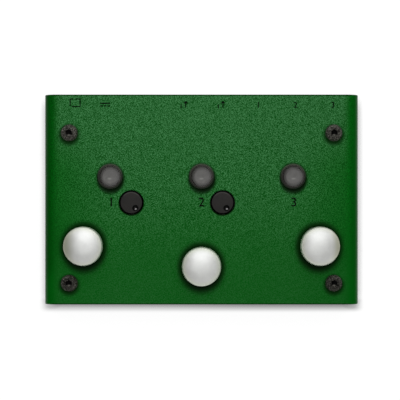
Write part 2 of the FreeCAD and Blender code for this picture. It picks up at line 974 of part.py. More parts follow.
def save_foot_switches():
    places = button_places.values()
    save("guide_bushes", [make_guide_bush(x, y) for x, y in places])
    save("bush_nuts", [make_bush_nut(x, y) for x, y in places])
    save("switch_bodies", [make_switch_body(x, y) for x, y in places])
    for side, (x, y) in button_places.items():
        save(side + "_foot_button", make_foot_button(x, y))
        save(side + "_retaining_ring", make_retaining_ring(x, y))
        save(side + "_return_spring", make_return_spring(x, y))
        save(side + "_switch_plunger", make_switch_plunger(x, y))


def save_lamps():
    for side, (x, y) in lamp_places.items():
        save(side + "_lamp", make_lamp(x, y))
    save("lamp_bezels", [make_lamp_bezel(x, y) for x, y in lamp_places.values()])
    save("lamp_leads", make_lamp_leads())


def save_gain_controls():
    for name, (x, y) in gain_places.items():
        save(name + "_gain_knob", make_gain_knob(x, y))
        save(name + "_gain_shaft", make_gain_shaft(x, y))
        save(name + "_gain_pot", make_gain_pot(x, y))


def save_back_row():
    for name, x in zip(jack_names, jack_places):
        save(name, make_jack(x))
    save("jack_contacts", [make_jack_contact(x) for x in jack_places])
    save("jack_washers", [make_jack_washer(x) for x in jack_places])
    save("jack_nuts", [make_jack_nut(x) for x in jack_places])
    save("power_inlet", make_power_inlet())
    save("inlet_pin", make_inlet_pin())
    save("ground_switch_body", make_slide_body())
    save("ground_switch_slider", make_slide_nub())


def save_board():
    save("main_board", make_main_board())
    save("transformer_can", make_transformer())
    save("relays", make_relays())
    save("can_capacitors", make_can_capacitors())
    save("film_capacitors", make_film_capacitors())
    save("chips", make_chips())
    save("chip_leads", make_chip_leads())
    save("voltage_regulator", make_regulator())


os.makedirs("parts", exist_ok=True)
save_box()
save_foot_switches()
save_lamps()
save_gain_controls()
save_back_row()
save_board()
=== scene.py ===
import math

import bmesh
import bpy
from mathutils import Matrix, Vector


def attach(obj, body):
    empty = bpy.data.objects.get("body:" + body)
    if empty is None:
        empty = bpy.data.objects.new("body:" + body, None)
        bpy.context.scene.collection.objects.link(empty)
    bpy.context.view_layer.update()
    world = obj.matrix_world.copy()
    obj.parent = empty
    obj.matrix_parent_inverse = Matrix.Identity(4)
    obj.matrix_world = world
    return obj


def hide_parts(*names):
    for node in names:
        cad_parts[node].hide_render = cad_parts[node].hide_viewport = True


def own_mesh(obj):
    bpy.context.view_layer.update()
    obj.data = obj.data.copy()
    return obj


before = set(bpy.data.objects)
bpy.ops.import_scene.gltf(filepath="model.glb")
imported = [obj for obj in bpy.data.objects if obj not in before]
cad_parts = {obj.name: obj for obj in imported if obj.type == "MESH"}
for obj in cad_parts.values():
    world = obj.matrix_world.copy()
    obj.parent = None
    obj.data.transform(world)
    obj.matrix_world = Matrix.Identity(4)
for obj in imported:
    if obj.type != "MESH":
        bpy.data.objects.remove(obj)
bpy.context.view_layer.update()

# The looks of a three-channel foot switcher for instruments: a green powder-coated box with three
# domed metal foot buttons, three round lamps and two sunk gain knobs. Its front is towards -Y.
# Sizes are written in millimetres and multiplied by MM where they reach a mesh.

MM = 0.001
FULL_TURN = 2 * math.pi

# Box
panel_top = 32.0
half_width = 82.5
half_depth = 55.0
cover_sheet = 2.0
cover_bend = 6.0
bend_start = half_width - cover_bend
cover_foot = 2.5
cover_foot_round = 3.0
back_wall = 52.0

# Places on the panel
button_places = {"left": (-61.7, -24.3), "middle": (0.0, -34.9), "right": (61.7, -24.3)}
lamp_places = {"left": (-47.9, 12.1), "middle": (0.0, 12.1), "right": (47.9, 12.1)}
gain_places = {"first": (-36.8, -1.6), "second": (11.0, -1.6)}
dimple_out = 3.6
dimple_turn = math.radians(-54.0)
dimple_place = (dimple_out * math.cos(dimple_turn), dimple_out * math.sin(dimple_turn))
screw_places = [(side * 69.3, y) for side in (-1, 1) for y in (34.9, -43.8)]

# Holes through the panel: where they are, and their radius
panel_holes = (
    (button_places.values(), 6.1),
    (lamp_places.values(), 6.1),
    (gain_places.values(), 6.45),
    (screw_places, 2.75),
)

# Back wall
jack_places = [-9.2 + 19.5 * i for i in range(5)]
jack_names = ["first_output_jack", "second_output_jack",
              "first_input_jack", "second_input_jack", "third_input_jack"]
jack_axis = 16.9
inlet_x = -50.5
slide_x = -66.2


# Shader nodes

def srgb(red, green, blue):
    """A screen colour, each channel 0 to 255, as the light values that a shader takes."""
    def light(value):
        value = value / 255
        return value / 12.92 if value <= 0.04045 else ((value + 0.055) / 1.055) ** 2.4
    return light(red), light(green), light(blue), 1.0


class Value:
    """What a node gives, so that shader sums read as plain sums."""

    def __init__(self, nodes, socket):
        self.nodes = nodes
        self.socket = socket

    def sum(self, operation, first, second=0.0):
        return self.nodes.node("ShaderNodeMath", {"operation": operation}, {0: first, 1: second})

    def __add__(self, other):
        return self.sum("ADD", self, other)

    def __radd__(self, other):
        return self.sum("ADD", other, self)

    def __sub__(self, other):
        return self.sum("SUBTRACT", self, other)

    def __rsub__(self, other):
        return self.sum("SUBTRACT", other, self)

    def __mul__(self, other):
        return self.sum("MULTIPLY", self, other)

    def __rmul__(self, other):
        return self.sum("MULTIPLY", other, self)

    def __pow__(self, other):
        return self.sum("POWER", self, other)

    def __abs__(self):
        return self.sum("ABSOLUTE", self)

    def __gt__(self, other):
        return self.sum("GREATER_THAN", self, other)

    def __lt__(self, other):
        return self.sum("LESS_THAN", self, other)

    def least(self, other):
        return self.sum("MINIMUM", self, other)

    def most(self, other):
        return self.sum("MAXIMUM", self, other)


def reach(across, along):
    """How far out a place lies that is so far across and so far along."""
    return (across * across + along * along) ** 0.5


def within(limit, out, strength):
    """A strength that holds as far out as the limit, and 1 beyond it."""
    return strength * (out < limit) + (out > limit - 0.001)


class Nodes:
    """The shader nodes of a material or of the world."""

    def __init__(self, tree, shader, coordinates):
        self.tree = tree
        self.shader = tree.nodes[shader]
        self.surface = self.shader.outputs[0].links[0].to_socket
        self.place = self.node("ShaderNodeTexCoord", output=coordinates)

    def feed(self, socket, value):
        """Links a node's value to a socket, or sets a plain one there."""
        if isinstance(value, Value):
            self.tree.links.new(value.socket, socket)
        else:
            socket.default_value = value

    def node(self, kind, settings=None, sockets=None, output=0):
        """Adds a node with its settings, then what its sockets get, and gives one output."""
        made = self.tree.nodes.new(kind)
        for name, value in (settings or {}).items():
            setattr(made, name, value)
        for name, value in (sockets or {}).items():
            self.feed(made.inputs[name], value)
        return Value(self, made.outputs[output])

    def axis(self, name):
        """One axis of the place."""
        return self.node("ShaderNodeSeparateXYZ", None, {0: self.place}, name)

    def spread(self, value, low, high, to_low=0.0, to_high=1.0):
        """The value's range from low to high, softly stretched to another."""
        return self.node("ShaderNodeMapRange", {"interpolation_type": "SMOOTHSTEP"}, {
            "Value": value, "From Min": low, "From Max": high,
            "To Min": to_low, "To Max": to_high})

    def blend(self, share, first, second):
        """First colour where share is 0, second where it is 1."""
        return self.node("ShaderNodeMix", {"data_type": "RGBA"},
                         {0: share, 6: first, 7: second}, 2)

    def ray(self, kind):
        """1 for light rays of one kind."""
        return self.node("ShaderNodeLightPath", output="Is %s Ray" % kind)

    def seen(self):
        """1 for rays that end at the camera, straight, off a mirror or through glass."""
        return (self.ray("Camera") + self.ray("Glossy") + self.ray("Transmission")).least(1.0)

    def mix_in(self, share, other):
        """Lets another shader take a share of what shows."""
        own = Value(self, self.shader.outputs[0])
        mixed = self.node("ShaderNodeMixShader", None, {0: share, 1: own, 2: other})
        self.feed(self.surface, mixed)


class Finish(Nodes):
    """A material: one shader with its constant sockets, and the nodes that feed the others."""

    def __init__(self, name, **constants):
        self.material = bpy.data.materials.new(name)
        self.material.use_nodes = True
        super().__init__(self.material.node_tree, "Principled BSDF", "Object")
        for words, value in constants.items():
            self.feed(self.shader.inputs[words.replace("_", " ")], value)

    def axis(self, name):
        """One axis of the place, in millimetres."""
        return super().axis(name) * (1 / MM)

    def away(self, x, y):
        """How far a place lies to the right of x and behind y."""
        return self.axis("X") - x, self.axis("Y") - y

    def noise(self, grain, detail=2.0, roughness=0.5, place=None):
        """Cloudy noise, mostly 0.3 to 0.7, whose lumps are about grain millimetres across."""
        return self.node("ShaderNodeTexNoise", None, {
            "Vector": place or self.place, "Scale": 1 / (grain * MM), "Detail": detail,
            "Roughness": roughness}, "Fac")

    def patchy(self, cloudy, cloud, fine, first, second):
        """Two colours in soft patches: a share of them cloudy, the rest fine."""
        patches = cloud * cloudy + fine * (1 - cloudy)
        return self.blend(self.spread(patches, 0.35, 0.65), first, second)

    def tinted(self, colour, strength):
        """A colour made brighter or darker."""
        return self.node("ShaderNodeVectorMath", {"operation": "SCALE"},
                         {0: colour, "Scale": strength})

    def grey(self, tone):
        """A grey whose channels are all the tone."""
        return self.node("ShaderNodeCombineColor", None, {0: tone, 1: tone, 2: tone})

    def colour(self, value):
        self.feed(self.shader.inputs["Base Color"], value)

    def rough(self, grain, low, high):
        """Roughness from low to high that follows a noise."""
        self.feed(self.shader.inputs["Roughness"], self.spread(grain, 0.3, 0.7, low, high))

    def bump(self, height, depth):
        """Small relief, depth millimetres from its lowest to its highest."""
        normal = self.node("ShaderNodeBump", None, {
            "Strength": 1.0, "Distance": depth * MM, "Height": height}, "Normal")
        self.feed(self.shader.inputs["Normal"], normal)


def from_lamp(finish):
    """How far a place lies to the right of and behind the nearest lamp."""
    x, step = finish.axis("X"), lamp_places["right"][0]
    across = x - ((x > step / 2) - (x < -step / 2)) * step
    return across, finish.axis("Y") - lamp_places["middle"][1]


def from_screw(finish):
    """How far a place lies outwards of and behind the nearest cover screw."""
    out, y = abs(finish.axis("X")), finish.axis("Y")
    screw_out, high = screw_places[2]
    low = screw_places[3][1]
    return out - screw_out, y - low - (y > (high + low) / 2) * (high - low)


def from_buttons(finish):
    """How far a place lies outwards of and behind the outer foot buttons, then the middle one."""
    out, y = abs(finish.axis("X")), finish.axis("Y")
    return [(out - button_places[side][0], y - button_places[side][1])
            for side in ("right", "middle")]


# Finishes

class PowderCoat(Finish):
    """Powder coat with a pebbled grain. Its specks and patches run from -0.5 to 0.5."""

    def __init__(self, name, grain_depth, roughness, shine):
        super().__init__(name, Specular_IOR_Level=shine)
        aslant = self.node("ShaderNodeMapping", None, {
            "Vector": self.place, "Rotation": (0.35, 0.25, 0.6)})
        pebble = self.noise(0.42, 1.0, 0.5, aslant)
        fine = self.noise(0.34, 2.0, 0.6, aslant)
        cloud = self.noise(26.0)
        relief = pebble * 0.85 + fine * 0.15
        self.specks = self.spread(relief, 0.4, 0.6, -0.5, 0.5)
        self.patches = self.spread(cloud, 0.3, 0.7, -0.5, 0.5)
        self.rough(fine, roughness - 0.07, roughness + 0.08)
        self.bump(relief, grain_depth)

    def ring(self, across, along, near, far, darkest):
        """Darkest as far out as near, and 1 from far onwards."""
        return self.spread(reach(across, along), near, far, darkest, 1.0)


def panel_haze(coat):
    """How pale the coat is: grain and a painted sheen, least on the bends, sides and front, most at
    the back.
    """
    out, y, z = abs(coat.axis("X")), coat.axis("Y"), coat.axis("Z")
    # The painted sheen grows towards the back edge, and fades towards the sides and on the bends.
    to_back = (coat.spread(y, -38.0, 58.0, 0.134, 0.492)
               + coat.spread(y, half_depth - 4.0, half_depth - 0.4, 0.0, 0.14))
    to_side = (coat.spread(out, 42.0, 82.0, 0.0, 0.88) * coat.spread(y, 12.0, 38.0, 1.0, 0.15)
               * coat.spread(y, -45.0, -20.0, 0.35, 1.0))
    # The grain's specks show stronger towards the back, as painted highlights.
    grain = coat.specks * coat.spread(y, -45.0, 12.0, 0.34, 1.2) + coat.patches * 0.06
    flat = coat.spread(out, bend_start - 3.0, bend_start + 1.9, 1.0, 0.0)
    panel = flat * (1 - to_side) * (to_back + grain)
    below_bend = coat.spread(z, panel_top - 4.0, panel_top - 1.8, 1.0, 0.0)
    walls = below_bend * (coat.specks * 0.3 + coat.patches * 0.1 + 0.4)
    # A painted highlight runs along each bend.
    painted_bend_highlight = (coat.spread(z, panel_top - 6.6, panel_top - 4.4)
              * coat.spread(z, panel_top - 3.0, panel_top - 1.6, 0.5, 0.0))
    return panel + walls + painted_bend_highlight


def panel_shade(coat):
    """1 on the open panel, less in painted shade on its bends and lips and round what stands on it.
    """
    x, y, z = coat.axis("X"), coat.axis("Y"), coat.axis("Z")
    # Painted shade along the front and back lips.
    lip = (coat.spread(y, 0.1 - half_depth, 0.9 - half_depth)
           * coat.spread(y, half_depth - 0.9, half_depth - 0.3, 1.0, 0.15))
    shade = 1 - (1 - lip) * coat.spread(z, panel_top - 0.45, panel_top - 0.25)
    # Painted shade on the bends, deepest on the left.
    bend = (coat.spread(x, -4.5 - bend_start, 2.6 - bend_start, 0.43, 0.0)
            + coat.spread(x, bend_start, bend_start + 3.0, 0.0, 0.12))
    bend = bend * coat.spread(y, -46.0, -32.0)
    shade = shade * (1 - bend * coat.spread(z, panel_top - 5.0, panel_top - 2.5))
    # Painted shade round each foot button, and a painted shadow below it.
    for across, along in from_buttons(coat):
        shade = shade * coat.ring(across, along - 0.4, 10.2, 14.0, 0.0)
        shade = shade * coat.ring(across, along + 2.5, 9.3, 14.0, 0.2)
    # Painted shade round the lamps and knobs, and painted shadows below the lamps and screws.
    across, along = from_lamp(coat)
    shade = shade * coat.ring(across - 0.5, along + 1.3, 5.9, 8.4, 0.0)
    shade = shade * coat.ring(across, along - 0.35, 6.0, 7.9, 0.3)
    for knob_x, knob_y in gain_places.values():
        across, along = coat.away(knob_x, knob_y)
        shade = shade * coat.ring(across, along + 0.3, 6.4, 7.1, 0.0)
    across, along = from_screw(coat)
    return shade * coat.ring(across, along + 1.1, 3.9, 6.9, 0.05)


def drips(coat):
    """How far the painted shadow in front of each foot button and lamp darkens the coat: 1 is not
    at all.
    """
    across, along = from_lamp(coat)
    # Painted shadows below the lamps and foot buttons.
    unshadowed = coat.ring(across, along + 2.6, 5.9, 7.8, 0.42)
    for across, along in from_buttons(coat):
        unshadowed = unshadowed * coat.ring(across, along + 4.0, 5.5, 12.0, 0.25)
    return unshadowed


def make_panel_coat(name):
    """The cover's green coat, with a painted sheen on the panel and painted shade round what stands
    on it.
    """
    coat = PowderCoat(name, 0.1, 0.42, 0.03)
    deep, pale = srgb(0, 87, 13), srgb(57, 113, 66)
    body = coat.blend(panel_haze(coat), deep, pale)
    # Painted highlights on the grain's specks, strongest towards the back.
    to_back = coat.spread(coat.axis("Y"), -45.0, 12.0, 0.2, 1.0)
    painted_grain_glints = coat.specks * to_back * (coat.axis("Z") > panel_top - 1.0)
    body = coat.tinted(body, 1 + painted_grain_glints * 0.72)
    # The deep green that the painted shade blends to.
    painted_shadow_colour = (0.0, deep[1] * 0.22, deep[2] * 0.1, 1.0)
    body = coat.blend(panel_shade(coat), painted_shadow_colour, body)
    # Painted shadows darken the coat in front of the foot buttons and lamps.
    coat.colour(coat.tinted(body, drips(coat)))
    return coat.material


def make_tray_coat(name):
    """The tray's black coat."""
    coat = PowderCoat(name, 0.06, 0.5, 0.3)
    haze = coat.specks * 0.5 + coat.patches * 0.3 + 0.45
    coat.colour(coat.blend(haze, srgb(24, 24, 25), srgb(44, 44, 43)))
    return coat.material


def make_cap_nickel(name):
    """Satin nickel of the foot caps, with painted reflections: paler rims, shaded outer sides on
    the outer two.
    """
    metal = Finish(name, Metallic=0.78)
    fine = metal.noise(0.16, 2.0, 0.6)
    cloud = metal.noise(5.0, 3.0)
    skin = metal.patchy(0.6, cloud, fine, srgb(218, 219, 218), srgb(228, 229, 228))
    # Painted reflections: paler rims, and darker outer sides on the outer caps.
    outer_rim_painted_highlight, middle_rim_painted_highlight = srgb(224, 226, 216), srgb(216, 220, 208)
    shaded_flanks = {"left": (-1, 3.0, srgb(160, 162, 144)), "right": (1, 5.0, srgb(168, 170, 150))}
    beyond_cap = 12.0
    for side, place in button_places.items():
        across, along = metal.away(*place)
        out = reach(across, along)
        # Painted shade in the middle of each crown.
        crown = metal.spread(out, 1.0, 4.6, 0.925, 1.0)
        skin = metal.tinted(skin, within(beyond_cap, out, crown))
        # A painted reflection makes each rim paler.
        rim = metal.spread(out, 7.0, 9.8) * (out < beyond_cap)
        skin = metal.blend(rim, skin, middle_rim_painted_highlight if side == "middle" else outer_rim_painted_highlight)
        if side != "right":
            # A painted highlight towards the back right.
            painted_slant_light = metal.spread(across * 0.7 + along * 0.7, 4.5, 8.5, 1.0, 1.09)
            skin = metal.tinted(skin, within(beyond_cap, out, painted_slant_light))
        if side == "left":
            # Painted shade on the left side of the left cap.
            skin = metal.tinted(skin, metal.spread(across, -3.0, -0.5, 0.93, 1.0))
        # Painted shade on the outer side of each outer cap.
        if side in shaded_flanks:
            outwards, start, painted_flank_shade = shaded_flanks[side]
            skin = metal.blend(metal.spread(across * outwards, start, 9.9), skin, painted_flank_shade)
    metal.colour(skin)
    metal.rough(cloud, 0.43, 0.5)
    metal.bump(fine, 0.003)
    return metal.material


def make_satin_metal(name, colour, roughness, grain=0.16, depth=0.003):
    """Blasted or tumbled metal: even, with very fine grain and soft cloudy wear."""
    metal = Finish(name, Metallic=1.0)
    fine = metal.noise(grain, 2.0, 0.6)
    cloud = metal.noise(5.0, 3.0)
    darker = tuple(channel * 0.9 for channel in colour[:3]) + (1.0,)
    metal.colour(metal.patchy(0.6, cloud, fine, darker, colour))
    metal.rough(cloud, roughness - 0.03, roughness + 0.05)
    metal.bump(fine, depth)
    return metal.material


def make_black_oxide(name):
    """Blackened steel: a mottled grey-black skin, thin on its high spots, with painted light and
    shade.
    """
    steel = Finish(name, Metallic=0.55, Specular_IOR_Level=0.1)
    mottle = steel.noise(0.7, 4.0, 0.65)
    scuff = steel.spread(steel.noise(0.5, 3.0), 0.56, 0.66)
    skin = steel.blend(steel.spread(mottle, 0.38, 0.62), srgb(22, 22, 18), srgb(84, 83, 77))
    skin = steel.blend(scuff, skin, srgb(132, 129, 122))
    across, along = from_screw(steel)
    out = reach(across, along)
    # Painted light: each head grows brighter towards its rim.
    skin = steel.tinted(skin, within(6.0, out, steel.spread(out, 2.3, 4.2, 0.62, 1.55)))
    # Painted shade: the front pair is darker.
    in_back_row = steel.axis("Y") > 0.0
    skin = steel.tinted(skin, in_back_row * 0.26 + 0.64)
    # Painted shade in each socket, with a painted highlight on its low side.
    inside = (out < 1.9) * (steel.axis("Z") < panel_top + 2.6)
    painted_glint = steel.spread(reach(across, (along + 1.35) * 1.5), 0.5, 1.2, 1.0, 0.0)
    low_side = steel.spread(along, -1.4, -0.7, 0.6, 0.0)
    socket = steel.blend(painted_glint.most(low_side), srgb(1, 1, 1), srgb(90, 89, 83))
    steel.colour(steel.blend(inside, skin, socket))
    steel.rough(mottle, 0.56, 0.4)
    steel.bump(mottle, 0.04)
    return steel.material


def moulded(plastic, roughness=0.5, depth=0.006):
    """Gives a plastic its mould's fine spark grain."""
    fine = plastic.noise(0.35, 2.0, 0.55)
    plastic.rough(fine, roughness - 0.05, roughness + 0.06)
    plastic.bump(fine, depth)
    return fine


def make_plastic(name, colour, roughness, depth=0.006):
    """Moulded plastic of one colour."""
    plastic = Finish(name)
    fine = moulded(plastic, roughness, depth)
    lighter = tuple(min(1.0, channel * 1.14 + 0.002) for channel in colour[:3]) + (1.0,)
    plastic.colour(plastic.patchy(0.5, plastic.noise(6.0), fine, colour, lighter))
    return plastic.material


def make_knob_plastic(name):
    """Black moulded plastic, with painted shade in each knob's dimple and round its edge, and
    painted highlights.
    """
    plastic = Finish(name, Specular_IOR_Level=0.15)
    fine = moulded(plastic)
    body = plastic.patchy(0.5, plastic.noise(6.0), fine, srgb(30, 29, 28), srgb(36, 34, 32))
    for knob_x, knob_y in gain_places.values():
        across, along = plastic.away(knob_x + dimple_place[0], knob_y + dimple_place[1])
        # Painted shade in the dimple, and a painted highlight at its bottom.
        dimple = plastic.spread(reach(across, along), 1.45, 1.9, 1.0, 0.0)
        body = plastic.blend(dimple, body, srgb(4, 4, 4))
        point = plastic.spread(reach((across - 0.2) * 0.7, along + 0.45), 0.2, 0.55, 1.0, 0.0)
        body = plastic.blend(point, body, srgb(150, 148, 148))
        across, along = plastic.away(knob_x, knob_y)
        out = reach(across, along)
        on_knob = out < 6.5
        # A painted highlight on the back of the rim, and painted shade round the knob's edge.
        rim = plastic.spread(out, 4.8, 5.25, 0.0, 0.8) * plastic.spread(along, 2.6, 4.6)
        body = plastic.blend(rim * on_knob, body, srgb(62, 60, 57))
        body = plastic.blend(plastic.spread(out, 5.4, 5.65) * on_knob, body, srgb(2, 2, 2))
    plastic.colour(body)
    return plastic.material


def make_lens_grey(name):
    """Smoke-grey translucent plastic, paler in the middle, with painted light and shade on its
    shoulder.
    """
    lens = Finish(name, Specular_IOR_Level=0.35)
    fine = lens.noise(0.3)
    cloud = lens.noise(2.2)
    across, along = from_lamp(lens)
    # Painted light and shade on the shoulder: darker to the back left, lighter to the front right
    # and at its outer edge.
    painted_slant_light = lens.spread(across * 0.5 - along * 0.85, -4.5, 4.5)
    shoulder = lens.blend(painted_slant_light, srgb(66, 64, 63), srgb(101, 99, 99))
    edge = lens.spread(reach(across, along), 4.7, 5.3)
    shoulder = lens.tinted(shoulder, 1 + edge * lens.spread(across, -5.0, -2.0, 0.1, 0.7))
    # The paler middle is brighter towards the front by painted light, with a painted highlight in
    # front of its centre.
    paler = lens.blend(lens.spread(cloud, 0.35, 0.65), srgb(88, 87, 85), srgb(94, 93, 91))
    paler = lens.tinted(paler, lens.spread(along, -3.5, 3.5, 1.16, 0.92))
    disc = lens.spread(reach(across, along + 0.4), 3.1, 4.3, 1.0, 0.0)
    body = lens.blend(disc, shoulder, paler)
    painted_glint = lens.spread(reach(across * 0.8367, (along + 1.25) * 1.8), 0.3, 1.3, 0.6, 0.0)
    lens.colour(lens.blend(painted_glint, body, srgb(138, 137, 133)))
    lens.rough(fine, 0.36, 0.44)
    lens.bump(fine, 0.002)
    return lens.material


def make_bezel_plastic(name):
    """Black plastic of the lamps' rings, paler at the inner edge, with painted light and shade on
    its rings.
    """
    plastic = Finish(name, Specular_IOR_Level=0.15)
    moulded(plastic)
    across, along = from_lamp(plastic)
    out = reach(across, along)
    # Painted light: the inner edge lighter to the right, the ridge lighter towards the back.
    to_back = plastic.spread(along, -1.0, 5.5)
    body = plastic.blend(plastic.spread(across, -5.0, 0.0), srgb(66, 64, 60), srgb(96, 94, 90))
    # Painted shade in the groove, and a painted outer edge, lit at the back and shaded in front.
    groove = srgb(26, 24, 20)
    ridge = plastic.blend(to_back, srgb(48, 55, 46), srgb(72, 80, 66))
    painted_edge_light_and_shade = plastic.blend(to_back, srgb(16, 23, 16), srgb(58, 76, 58))
    for start, full, colour in ((5.45, 5.75, groove), (5.9, 6.15, ridge), (6.4, 6.65, painted_edge_light_and_shade)):
        body = plastic.blend(plastic.spread(out, start, full), body, colour)
    plastic.colour(body)
    return plastic.material


def make_rubber(name):
    """Dull moulded rubber."""
    rubber = Finish(name, Specular_IOR_Level=0.3)
    fine = rubber.noise(0.4, 3.0, 0.6)
    dust = rubber.spread(rubber.noise(1.8, 3.0), 0.52, 0.75)
    rubber.colour(rubber.blend(dust, srgb(26, 26, 27), srgb(44, 43, 42)))
    rubber.rough(fine, 0.78, 0.9)
    rubber.bump(fine, 0.02)
    return rubber.material


def make_board_mask(name):
    """Green solder mask over copper tracks that run in steps."""
    board = Finish(name, Coat_Weight=0.3, Coat_Roughness=0.2)
    tracks = board.node(
        "ShaderNodeTexBrick", {"offset": 0.37, "squash": 1.6, "squash_frequency": 3}, {
            "Vector": board.place, "Scale": 160.0, "Mortar Size": 0.012, "Mortar Smooth": 0.1,
            "Brick Width": 1.9, "Row Height": 0.42}, "Fac") * 0.7
    weave = board.noise(0.5)
    mask = board.blend(board.spread(weave, 0.3, 0.7), srgb(9, 66, 40), srgb(13, 78, 48))
    board.colour(board.blend(tracks, mask, srgb(34, 112, 62)))
    board.rough(weave, 0.3, 0.42)
    board.bump(tracks + weave * 0.3, 0.03)
    return board.material


def make_printing_ink(name):
    """Black screen printing, a shade uneven where it lies over the coat's grain."""
    ink = Finish(name, Specular_IOR_Level=0.03)
    thin = ink.spread(ink.noise(0.45), 0.58, 0.78)
    ink.colour(ink.blend(thin, srgb(2, 7, 3), srgb(4, 26, 8)))
    ink.rough(ink.noise(0.3), 0.5, 0.65)
    ink.bump(ink.noise(0.95, 1.5, 0.45), 0.02)
    return ink.material


green_coat = make_panel_coat("green_powder_coat")
black_coat = make_tray_coat("black_tray_coat")
satin_nickel = make_cap_nickel("satin_nickel")
machined_nickel = make_satin_metal("machined_nickel", srgb(196, 194, 190), 0.26)
black_oxide = make_black_oxide("black_oxide")
zinc = make_satin_metal("zinc", srgb(170, 173, 176), 0.38, 0.4, 0.006)
spring_steel = make_satin_metal("spring_steel", srgb(142, 144, 148), 0.3)
turned_brass = make_satin_metal("turned_brass", srgb(198, 164, 96), 0.3)
tinned_metal = make_satin_metal("tinned_metal", srgb(188, 190, 192), 0.34)
drawn_shell = make_satin_metal("transformer_shell", srgb(150, 152, 156), 0.42, 0.5, 0.008)
lens_grey = make_lens_grey("grey_lens")
black_plastic = make_knob_plastic("black_plastic")
bezel_plastic = make_bezel_plastic("bezel_plastic")
moulded_black = make_plastic("moulded_black", srgb(26, 26, 27), 0.5)
relay_case = make_plastic("relay_case", srgb(206, 204, 196), 0.4)
can_sleeve = make_plastic("can_sleeve", srgb(30, 34, 56), 0.3, 0.002)
film_box = make_plastic("film_box", srgb(150, 34, 26), 0.35, 0.003)
black_rubber = make_rubber("black_rubber")
board_mask = make_board_mask("board_green")
ink_black = make_printing_ink("printing_ink")

node_finishes = {
    "cover": green_coat,
    "base_tray": black_coat,
    "cover_screws": black_oxide,
    "tab_nuts": zinc,
    "rubber_feet": black_rubber,
    "board_spacers": turned_brass,
    "board_screws": zinc,
    "main_board": board_mask,
    "guide_bushes": machined_nickel,
    "bush_nuts": machined_nickel,
    "switch_bodies": moulded_black,
    "lamp_bezels": bezel_plastic,
    "lamp_leads": tinned_metal,
    "jack_contacts": tinned_metal,
    "jack_washers": zinc,
    "jack_nuts": machined_nickel,
    "power_inlet": moulded_black,
    "inlet_pin": machined_nickel,
    "ground_switch_body": drawn_shell,
    "ground_switch_slider": moulded_black,
    "transformer_can": drawn_shell,
    "relays": relay_case,
    "can_capacitors": can_sleeve,
    "film_capacitors": film_box,
    "chips": moulded_black,
    "chip_leads": tinned_metal,
    "voltage_regulator": moulded_black,
}
for side in button_places:
    node_finishes[side + "_foot_button"] = satin_nickel
    node_finishes[side + "_retaining_ring"] = spring_steel
    node_finishes[side + "_return_spring"] = spring_steel
    node_finishes[side + "_switch_plunger"] = moulded_black
    node_finishes[side + "_lamp"] = lens_grey
for which in gain_places:
    node_finishes[which + "_gain_knob"] = black_plastic
    node_finishes[which + "_gain_shaft"] = machined_nickel
    node_finishes[which + "_gain_pot"] = moulded_black
for name in jack_names:
    node_finishes[name] = moulded_black
for name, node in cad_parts.items():
    for material_slot in node.material_slots:
        material_slot.material = node_finishes[name]


# Mesh work

def in_scene(name, data):
    """An object for a mesh, a text, a light or a camera."""
    thing = bpy.data.objects.new(name, data)
    bpy.context.scene.collection.objects.link(thing)
    return thing


def as_mesh(name, bm):
    """The mesh of a bmesh, which is freed."""
    mesh = bpy.data.meshes.new(name)
    bm.to_mesh(mesh)
    bm.free()
    return mesh


def hang(name, bm, finish, body="housing", stands_for=None):
    """Hangs a mesh on the body that it moves with, in place of the node that it stands for."""
    for face in bm.faces:
        face.smooth = True
    mesh = as_mesh(name, bm)
    mesh.materials.append(finish)
    piece = in_scene(name, mesh)
    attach(piece, body)
    if stands_for:
        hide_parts(stands_for)
    return piece


def merge_doubles(bm, gap=0.0005):
    """Merges the points that lie no further apart than a gap."""
    bmesh.ops.remove_doubles(bm, verts=bm.verts, dist=gap * MM)


def hang_closed(name, bm, finish, body="housing", stands_for=None, sharp_over=32.0):
    """Hangs a closed mesh, with its faces turned outwards and its sharp edges kept."""
    merge_doubles(bm)
    bmesh.ops.recalc_face_normals(bm, faces=bm.faces)
    piece = hang(name, bm, finish, body, stands_for)
    piece.data.set_sharp_from_angle(angle=math.radians(sharp_over))
    return piece


def soften(piece, width, segments, angle):
    """Breaks a piece's sharp edges, and keeps its flat faces flat."""
    bevel = piece.modifiers.new("broken_edges", "BEVEL")
    bevel.width = width * MM
    bevel.segments = segments
    bevel.limit_method = "ANGLE"
    bevel.angle_limit = math.radians(angle)
    bevel.use_clamp_overlap = False
    even = piece.modifiers.new("flat_faces", "WEIGHTED_NORMAL")
    even.keep_sharp = True


def moved(bm, way, points=None):
    """Moves a mesh, or some of its points, by (x, y, z)."""
    bmesh.ops.translate(bm, vec=Vector(way) * MM, verts=points or bm.verts)


def rounded(bm, points, radius, segments):
    """Rounds the corners at some points."""
    bmesh.ops.bevel(bm, geom=points, affect="VERTICES", offset=radius * MM,
                    offset_type="OFFSET", segments=segments, profile=0.5, material=-1)


def swept(bm, geometry, centre, axis, angle, steps, rise=0.0, merge=False):
    """Spins points, edges or faces about an axis, rising on the way, and gives the last ones."""
    made = bmesh.ops.spin(bm, geom=geometry, cent=Vector(centre) * MM, axis=axis, angle=angle,
                          steps=steps, use_merge=merge, use_duplicate=False,
                          use_normal_flip=False, dvec=(0, 0, rise * MM / steps))
    return made["geom_last"]


